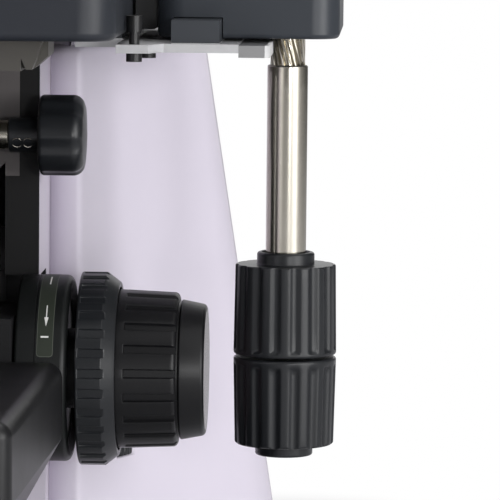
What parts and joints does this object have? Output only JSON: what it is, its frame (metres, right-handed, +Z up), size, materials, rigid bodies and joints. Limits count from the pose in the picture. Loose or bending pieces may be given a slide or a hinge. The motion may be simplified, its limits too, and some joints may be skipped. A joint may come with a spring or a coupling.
{
  "type": "inverted microscope",
  "caption": "Inverted microscope: objectives under the stage, coaxial focus with torque ring, hanging coaxial stage control, swinging eyetubes, and a condenser and lamp on an arm above.",
  "frame": {"origin": "on the bench, at the centre of the stand's footprint", "axes": "+X is the user's right, +Y the back of the instrument, away from the user, and +Z up; the light comes down the optical axis at X 0, Y -20 mm"},
  "size_m": [0.355, 0.4951, 0.546],
  "materials": {
    "pale_shell": "moulded shell with a fine satin texture",
    "black_casing": "black moulded casing",
    "black_casting": "black powder-coated casting",
    "column_grey": "dark grey painted casting",
    "stage_paint": "dark blue-grey stage paint with a fine grain",
    "box_paint": "slate-grey satin paint",
    "bracket_metal": "brown-grey anodised bracket metal",
    "base_steel": "dark painted plate",
    "foot_rubber": "black rubber",
    "insert_metal": "black anodised plate",
    "bright_steel": "ground and polished steel",
    "silver_plate": "dull nickelled plate",
    "knob_black": "moulded black knob",
    "fine_knob": "moulded black knob with a pale end disc",
    "torque_plastic": "black ring with a grey-green index band",
    "anodised": "black anodised aluminium",
    "slide_metal": "machined aluminium slide",
    "objective_metal": "satin chromed barrel with a coloured band",
    "mirror_glass": "front-surface mirror on a black block",
    "lens_glass": "coated lens glass",
    "head_paint": "pale satin paint",
    "eyepiece_black": "black eyepiece",
    "lamp_black": "black ribbed heat sink",
    "inlet_black": "black moulded inlet",
    "rocker_black": "glossy black rocker"
  },
  "bodies": {
    "stand": {"base_plate": "base_steel", "rubber_feet": "foot_rubber", "frame_block": "black_casting", "upper_frame": "column_grey", "fold_mirrors": "mirror_glass", "tube_lens": "lens_glass", "front_casing": "black_casing", "shell_right": "pale_shell", "shell_left": "pale_shell", "rear_cover": "pale_shell", "stage_brackets": "bracket_metal", "stage_plate": "stage_paint", "stage_insert": "insert_metal", "focus_sleeves": "anodised", "guide_rails": "bright_steel", "stage_track": "silver_plate", "y_rack": "silver_plate", "track_screws": "bright_steel", "head_column": "head_paint", "head_body": "head_paint", "arm_pillar": "head_paint", "lamp_arm": "head_paint", "lamp_housing": "lamp_black", "collector_lens": "lens_glass", "power_inlet": "inlet_black"},
    "nosepiece": {"nosepiece_carrier": "slide_metal"},
    "turret_body": {"turret": "anodised", "objective_4x": "objective_metal", "objective_10x": "objective_metal", "objective_20x": "objective_metal", "objective_40x": "objective_metal"},
    "coarse_drive": {"coarse_shaft": "bright_steel", "coarse_ring_right": "knob_black", "coarse_ring_left": "knob_black"},
    "fine_drive": {"fine_spindle": "bright_steel", "fine_knob_right": "fine_knob", "fine_knob_left": "fine_knob"},
    "tension_ring": {"torque_ring": "torque_plastic"},
    "y_carriage": {"carriage_box": "box_paint"},
    "y_control": {"y_pinion_shaft": "bright_steel", "y_knob": "knob_black"},
    "cross_slide": {"x_bar": "bright_steel", "specimen_holder": "anodised"},
    "x_control": {"x_spindle": "bright_steel", "x_knob": "knob_black"},
    "clip": {"specimen_clip": "bright_steel"},
    "selector": {"selector_shaft": "bright_steel", "selector_knob": "knob_black"},
    "right_tube": {"right_eyetube": "black_casting", "right_eyepiece": "eyepiece_black"},
    "left_tube": {"left_eyetube": "black_casting", "left_eyepiece": "eyepiece_black"},
    "diopter": {"diopter_ring": "knob_black"},
    "condenser": {"condenser_carrier": "black_casting", "condenser_body": "anodised"},
    "aperture": {"aperture_lever": "knob_black"},
    "phase": {"phase_slider": "anodised"},
    "field": {"field_ring": "knob_black"},
    "brightness": {"brightness_wheel": "knob_black"},
    "rocker": {"power_rocker": "rocker_black"}
  },
  "joints": [
    {"name": "focus_lift", "type": "slide", "parent": "stand", "child": "nosepiece", "axis": [0, 0, 1], "range_m": [-0.002, 0.007]},
    {"name": "turret_turn", "type": "hinge", "parent": "nosepiece", "child": "turret_body", "pos_m": [0, -0.02, 0.08363], "axis": [0, 0.342, 0.9397], "continuous": true},
    {"name": "coarse_turn", "type": "hinge", "parent": "stand", "child": "coarse_drive", "pos_m": [0, -0.06, 0.095], "axis": [1, 0, 0], "range_deg": [-19.2, 66.9]},
    {"name": "fine_turn", "type": "hinge", "parent": "stand", "child": "fine_drive", "pos_m": [0, -0.06, 0.095], "axis": [1, 0, 0], "continuous": true},
    {"name": "torque_turn", "type": "hinge", "parent": "stand", "child": "tension_ring", "pos_m": [0.078, -0.06, 0.095], "axis": [1, 0, 0], "range_deg": [-120, 120]},
    {"name": "y_slide", "type": "slide", "parent": "stand", "child": "y_carriage", "axis": [0, 1, 0], "range_m": [-0.03, 0.045]},
    {"name": "y_drive", "type": "hinge", "parent": "y_carriage", "child": "y_control", "pos_m": [0.14903, -0.06, 0.15], "axis": [0, 0, 1], "range_deg": [-368, 551]},
    {"name": "x_slide", "type": "slide", "parent": "y_carriage", "child": "cross_slide", "axis": [1, 0, 0], "range_m": [-0.057, 0.057]},
    {"name": "x_drive", "type": "hinge", "parent": "y_carriage", "child": "x_control", "pos_m": [0.14903, -0.06, 0.15], "axis": [0, 0, 1], "range_deg": [-727, 727]},
    {"name": "clip_swing", "type": "hinge", "parent": "cross_slide", "child": "clip", "pos_m": [0.044, 0.014, 0.2155], "axis": [0, 0, 1], "range_deg": [0, 40], "stiffness_Nm_per_rad": 0.02, "springref_deg": -17.19},
    {"name": "selector_turn", "type": "hinge", "parent": "stand", "child": "selector", "pos_m": [0.06, -0.06, 0.165], "axis": [1, 0, 0], "range_deg": [0, 90]},
    {"name": "right_tube_swing", "type": "hinge", "parent": "stand", "child": "right_tube", "pos_m": [0, -0.202, 0.3048], "axis": [0, -0.7071, 0.7071], "range_deg": [-30, 20]},
    {"name": "left_tube_swing", "type": "hinge", "parent": "stand", "child": "left_tube", "pos_m": [0, -0.202, 0.3048], "axis": [0, -0.7071, 0.7071], "range_deg": [-20, 30]},
    {"name": "diopter_turn", "type": "hinge", "parent": "left_tube", "child": "diopter", "pos_m": [-0.03248, -0.18874, 0.31806], "axis": [0, -0.7071, 0.7071], "range_deg": [-60, 60]},
    {"name": "condenser_slide", "type": "slide", "parent": "stand", "child": "condenser", "axis": [0, 0, 1], "range_m": [-0.01, 0.03]},
    {"name": "aperture_turn", "type": "hinge", "parent": "condenser", "child": "aperture", "pos_m": [0, -0.02, 0.302], "axis": [0, 0, 1], "range_deg": [-30, 30]},
    {"name": "phase_slide", "type": "slide", "parent": "condenser", "child": "phase", "axis": [1, 0, 0], "range_m": [-0.034, 0.034]},
    {"name": "field_turn", "type": "hinge", "parent": "stand", "child": "field", "pos_m": [0, -0.02, 0.4528], "axis": [0, 0, 1], "range_deg": [-60, 60]},
    {"name": "brightness_turn", "type": "hinge", "parent": "stand", "child": "brightness", "pos_m": [0.0882, 0.0131, 0.0575], "axis": [0, 0, 1], "range_deg": [-140, 140]},
    {"name": "rocker_tilt", "type": "hinge", "parent": "stand", "child": "rocker", "pos_m": [0.02, 0.2185, 0.063], "axis": [1, 0, 0], "range_deg": [-18, 0]}
  ],
  "couplings": [
    {"joint": "coarse_turn", "follows": "focus_lift", "rad_per_m": 166.67},
    {"joint": "y_drive", "follows": "y_slide", "rad_per_m": 213.68},
    {"joint": "x_drive", "follows": "x_slide", "rad_per_m": -222.22},
    {"joint": "left_tube_swing", "follows": "right_tube_swing", "ratio": -1}
  ]
}
